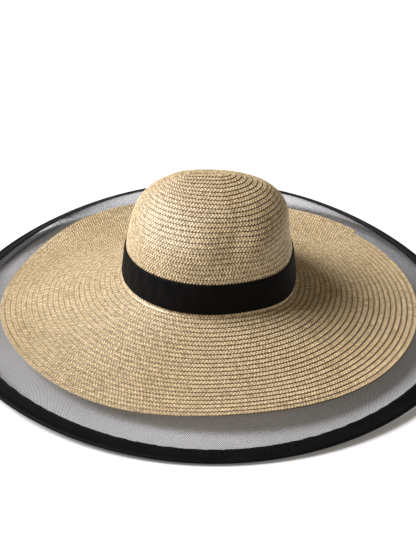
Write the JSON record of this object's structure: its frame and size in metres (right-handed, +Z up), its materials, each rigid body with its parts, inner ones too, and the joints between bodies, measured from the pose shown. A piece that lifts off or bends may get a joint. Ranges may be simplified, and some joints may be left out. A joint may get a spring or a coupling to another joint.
{
  "type": "straw sun hat",
  "caption": "Wide-brimmed paper-straw sun hat with a black ribbon, a sheer black net brim extension and a wired black binding.",
  "frame": {"origin": "centre of the rim at the surface that the hat rests on, on the crown's axis", "axes": "+Z up through the crown, +X along the crown's longer axis, and the side in the picture faces -Y"},
  "size_m": [0.56, 0.56, 0.1765],
  "materials": {
    "paper_straw": "woven paper-straw braid",
    "black_ribbon": "woven ribbon, slight sheen",
    "grosgrain": "ribbed grosgrain ribbon",
    "straw_thread": "spun sewing thread",
    "black_net": "stiff sheer nylon net",
    "black_binding": "folded woven tape",
    "black_thread": "spun sewing thread",
    "spring_wire": "drawn spring wire",
    "crimp_sleeve": "crimped tube"
  },
  "bodies": {
    "root": {"straw_crown": "paper_straw", "straw_brim": "paper_straw", "hat_band": "black_ribbon", "band_lap": "black_ribbon", "sweatband": "grosgrain", "sweatband_seam_thread": "straw_thread", "mesh_brim": "black_net", "mesh_seam_thread": "straw_thread", "brim_binding": "black_binding", "binding_thread": "black_thread", "brim_wire": "spring_wire", "wire_ferrule": "crimp_sleeve"}
  },
  "joints": []
}
